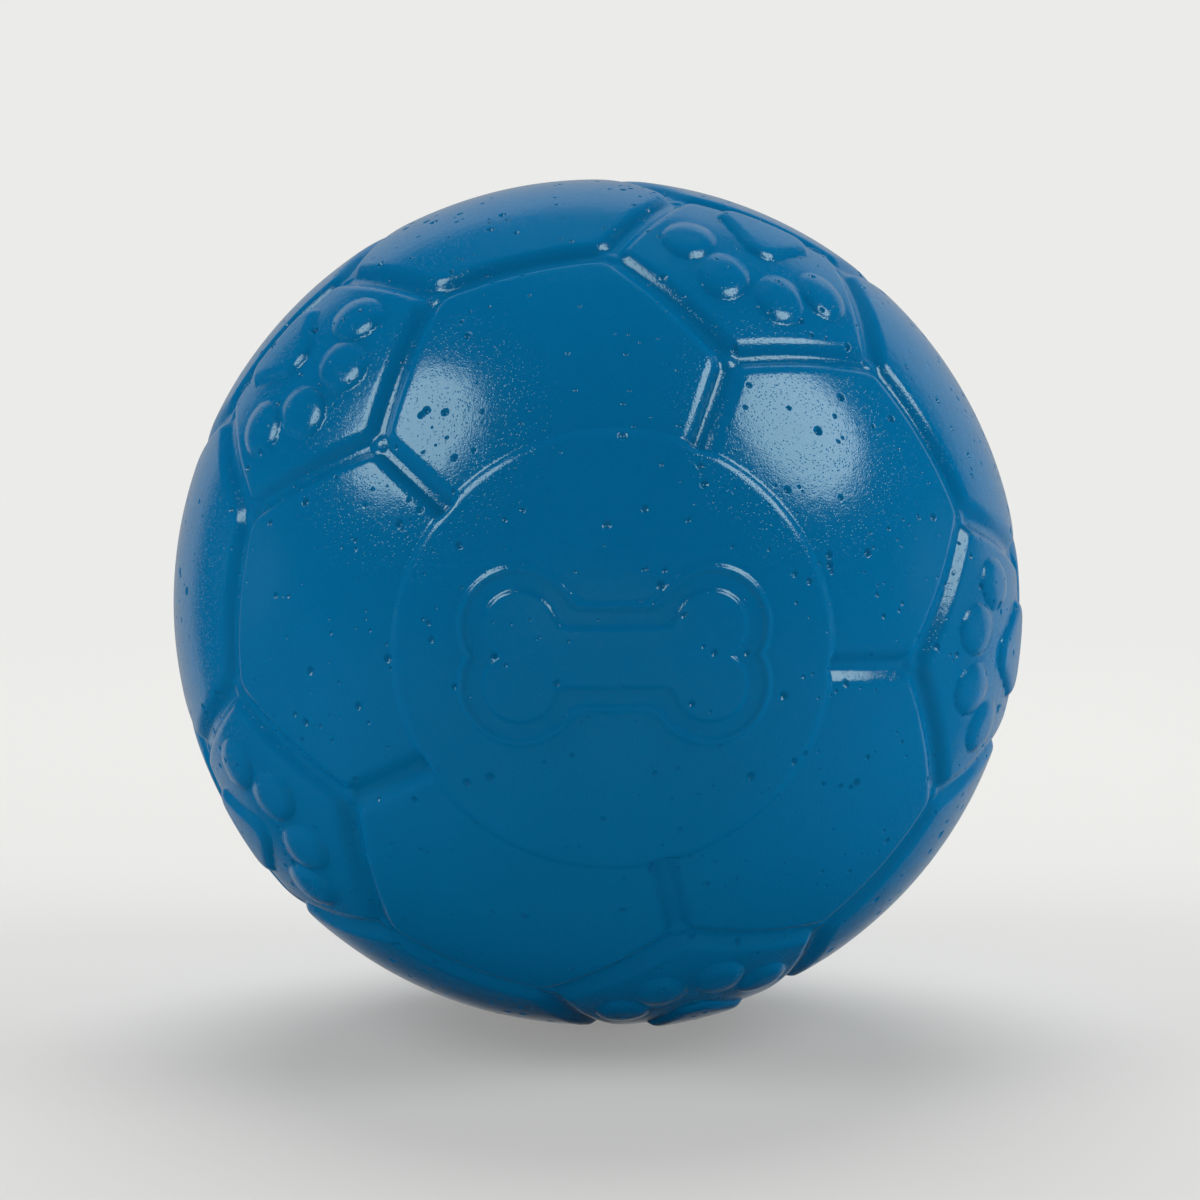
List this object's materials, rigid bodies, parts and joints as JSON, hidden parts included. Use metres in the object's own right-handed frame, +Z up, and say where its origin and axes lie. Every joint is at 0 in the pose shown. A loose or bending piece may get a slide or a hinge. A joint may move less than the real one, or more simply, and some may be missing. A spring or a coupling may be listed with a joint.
{
  "type": "dog toy ball",
  "caption": "Hollow one-colour dog toy ball with raised football panels, paw prints on the pentagons, a round front panel and a push-in vent plug at the back.",
  "frame": {"origin": "centre of the ball", "axes": "+Z up as the ball lies in the picture, the front round panel faces -Y, the vent plug is at +Y"},
  "size_m": [0.203, 0.2056, 0.203],
  "materials": {
    "shell": "semi-gloss moulded skin with a fine orange-peel grain and pinholes",
    "hexagon_panels": "semi-gloss moulded skin with a fine orange-peel grain and pinholes",
    "paw_panels": "semi-gloss moulded skin with a fine orange-peel grain and pinholes",
    "round_panels": "semi-gloss moulded skin with a fine orange-peel grain and pinholes",
    "vent_plug": "satin injection moulding"
  },
  "bodies": {
    "ball": {"shell": "shell", "front_inner_hexagon_1": "hexagon_panels", "front_inner_hexagon_2": "hexagon_panels", "front_inner_hexagon_3": "hexagon_panels", "front_inner_hexagon_4": "hexagon_panels", "front_inner_hexagon_5": "hexagon_panels", "front_outer_hexagon_1": "hexagon_panels", "front_outer_hexagon_2": "hexagon_panels", "front_outer_hexagon_3": "hexagon_panels", "front_outer_hexagon_4": "hexagon_panels", "front_outer_hexagon_5": "hexagon_panels", "rear_inner_hexagon_1": "hexagon_panels", "rear_inner_hexagon_2": "hexagon_panels", "rear_inner_hexagon_3": "hexagon_panels", "rear_inner_hexagon_4": "hexagon_panels", "rear_inner_hexagon_5": "hexagon_panels", "rear_outer_hexagon_1": "hexagon_panels", "rear_outer_hexagon_2": "hexagon_panels", "rear_outer_hexagon_3": "hexagon_panels", "rear_outer_hexagon_4": "hexagon_panels", "rear_outer_hexagon_5": "hexagon_panels", "front_paw_panel_1": "paw_panels", "front_paw_panel_2": "paw_panels", "front_paw_panel_3": "paw_panels", "front_paw_panel_4": "paw_panels", "front_paw_panel_5": "paw_panels", "rear_paw_panel_1": "paw_panels", "rear_paw_panel_2": "paw_panels", "rear_paw_panel_3": "paw_panels", "rear_paw_panel_4": "paw_panels", "rear_paw_panel_5": "paw_panels", "front_round_panel": "round_panels", "rear_round_panel": "round_panels"},
    "vent_plug": {"vent_plug": "vent_plug"}
  },
  "joints": [
    {"name": "vent_plug_pull", "type": "slide", "parent": "ball", "child": "vent_plug", "axis": [0, 1, 0], "range_m": [0, 0.03]}
  ]
}
